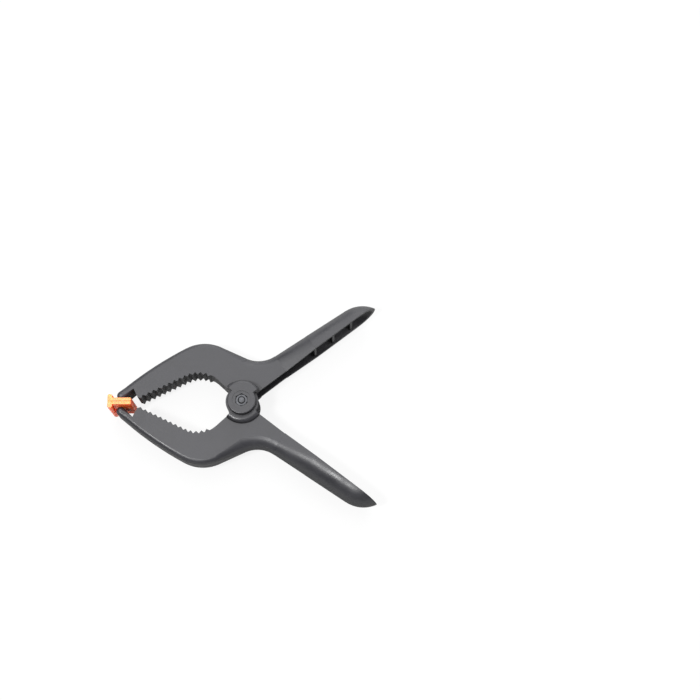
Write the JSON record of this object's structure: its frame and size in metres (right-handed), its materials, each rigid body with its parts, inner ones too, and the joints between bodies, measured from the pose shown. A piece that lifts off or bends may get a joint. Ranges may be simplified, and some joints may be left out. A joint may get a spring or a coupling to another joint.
{
  "type": "spring clamp",
  "caption": "Moulded spring clamp with toothed curved jaws, swivelling grip pads, channel-section handles and a hub with nested ears round a torsion spring.",
  "frame": {"origin": "on the pivot axis, in the plane of the lower hub face on which the clamp rests", "axes": "+Z along the pivot axis, up from the rest face; -X towards the jaws; +X towards the handles; +Y towards the far arm"},
  "size_m": [0.2332, 0.1814, 0.041],
  "materials": {
    "black_nylon": "fine moulded texture",
    "orange_pad": "smooth moulded",
    "black_steel": "black oxide",
    "spring_steel": "zinc plated wire"
  },
  "bodies": {
    "near_arm": {"lower_arm": "black_nylon", "lower_pad_pin": "black_steel", "torsion_spring": "spring_steel"},
    "far_arm": {"upper_arm": "black_nylon", "upper_pad_pin": "black_steel", "pivot_bolt": "black_steel", "pivot_nut": "black_steel"},
    "near_pad": {"lower_pad": "orange_pad"},
    "far_pad": {"upper_pad": "orange_pad"}
  },
  "joints": [
    {"name": "jaw_pivot", "type": "hinge", "parent": "near_arm", "child": "far_arm", "pos_m": [0, 0, 0.0205], "axis": [0, 0, -1], "range_deg": [0, 64], "stiffness_Nm_per_rad": 2.1, "springref_deg": -28.65, "deforming": ["torsion_spring"]},
    {"name": "near_pad_swivel", "type": "hinge", "parent": "near_arm", "child": "near_pad", "pos_m": [-0.1063, -0.007, 0.0205], "axis": [0, 0, -1], "range_deg": [0, 32]},
    {"name": "far_pad_swivel", "type": "hinge", "parent": "far_arm", "child": "far_pad", "pos_m": [-0.1063, 0.007, 0.0205], "axis": [0, 0, 1], "range_deg": [0, 32]}
  ],
  "couplings": [
    {"joint": "near_pad_swivel", "follows": "jaw_pivot", "ratio": 0.5},
    {"joint": "far_pad_swivel", "follows": "jaw_pivot", "ratio": 0.5}
  ]
}
